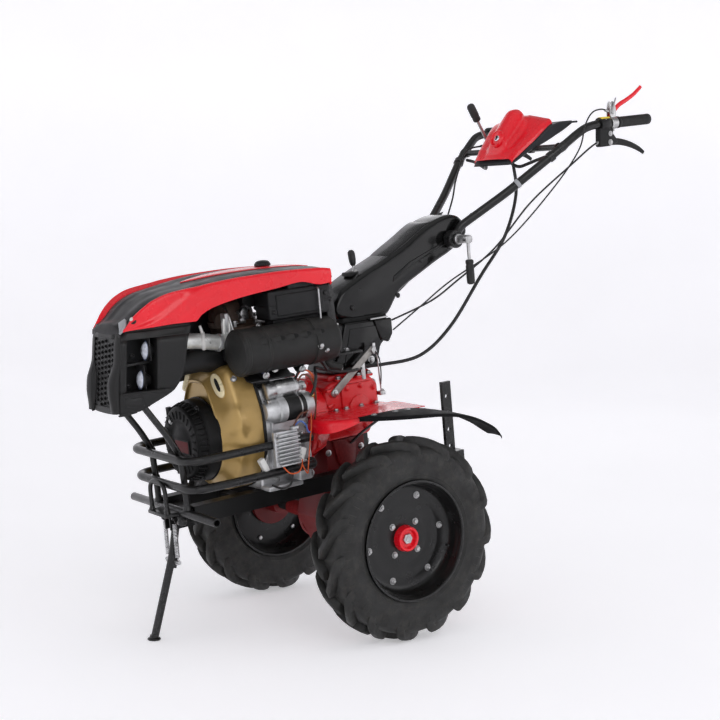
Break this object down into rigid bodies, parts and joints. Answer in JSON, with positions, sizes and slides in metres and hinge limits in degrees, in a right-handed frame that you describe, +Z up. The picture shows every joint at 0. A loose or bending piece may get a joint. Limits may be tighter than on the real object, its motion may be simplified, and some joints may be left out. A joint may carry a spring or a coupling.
{
  "type": "power weeder",
  "caption": "Walk-behind two-wheel diesel power weeder with hooded engine, lugged tyres, front guard, folding front stand and a tilting handlebar.",
  "frame": {"origin": "on the ground, in the middle of the overall length and width", "axes": "+X forward, towards the nose; +Y to the machine's left; +Z up"},
  "size_m": [1.6578, 0.8, 1.5188],
  "materials": {
    "red_paint": "gloss",
    "dark_red_paint": "satin",
    "black_paint": "satin",
    "muffler_black": "matte",
    "black_plastic": "satin",
    "gold_paint": "metallic satin",
    "cast_aluminium": "cast",
    "cast_iron_grey": "cast",
    "plated_steel": "zinc plated",
    "lamp_glass": "clear lens",
    "tyre_rubber": "matte",
    "grip_rubber": "matte",
    "cable_rubber": "satin"
  },
  "bodies": {
    "chassis": {"engine_block": "cast_aluminium", "cylinder_head": "cast_iron_grey", "fan_shroud": "gold_paint", "recoil_starter": "black_plastic", "muffler": "muffler_black", "air_cleaner": "black_plastic", "starter_motor": "cast_aluminium", "regulator": "cast_aluminium", "fuel_tank": "black_plastic", "fuel_cap": "black_plastic", "hood_cover": "red_paint", "hood_band": "black_plastic", "front_fairing": "black_plastic", "headlights": "lamp_glass", "upper_guard": "black_paint", "lower_guard": "black_paint", "guard_posts": "black_paint", "cross_tube": "black_paint", "engine_frame": "dark_red_paint", "clutch_housing": "red_paint", "gearbox_case": "red_paint", "final_drive_case": "dark_red_paint", "shift_arm": "plated_steel", "left_fender": "red_paint", "left_fender_wing": "black_paint", "right_fender": "red_paint", "right_fender_wing": "black_paint", "hitch_arm": "black_paint", "drag_bar": "black_paint", "column_base": "black_plastic", "column_cover": "black_plastic", "column_lever": "plated_steel", "hood_bracket": "black_paint", "clutch_cable": "cable_rubber", "throttle_cable": "cable_rubber", "gear_cable": "cable_rubber", "wiring_loom": "cable_rubber", "stand_springs": "plated_steel"},
    "left_wheel": {"left_tyre": "tyre_rubber", "left_rim": "black_paint", "left_hub": "red_paint"},
    "right_wheel": {"right_tyre": "tyre_rubber", "right_rim": "black_paint", "right_hub": "red_paint"},
    "stand": {"front_stand": "black_paint"},
    "handlebar": {"left_bar": "black_paint", "right_bar": "black_paint", "bar_brace": "black_paint", "left_grip": "grip_rubber", "right_grip": "grip_rubber", "console_cover": "red_paint", "console_base": "black_plastic", "left_lever": "black_plastic", "right_lever": "black_plastic", "throttle_lever": "red_paint", "gear_lever": "black_plastic", "clamp_handle": "plated_steel"}
  },
  "joints": [
    {"name": "left_wheel_spin", "type": "hinge", "parent": "chassis", "child": "left_wheel", "pos_m": [0.12554, 0.334, 0.27], "axis": [0, 1, 0], "continuous": true},
    {"name": "right_wheel_spin", "type": "hinge", "parent": "chassis", "child": "right_wheel", "pos_m": [0.12554, -0.334, 0.27], "axis": [0, 1, 0], "continuous": true},
    {"name": "stand_fold", "type": "hinge", "parent": "chassis", "child": "stand", "pos_m": [0.61962, 0, 0.30606], "axis": [0, 1, 0], "range_deg": [0, 95], "deforming": ["stand_springs"]},
    {"name": "handlebar_tilt", "type": "hinge", "parent": "chassis", "child": "handlebar", "pos_m": [-0.23117, 0, 1.05734], "axis": [0, 1, 0], "range_deg": [-25, 10], "deforming": ["clutch_cable", "throttle_cable", "gear_cable", "wiring_loom"]}
  ]
}
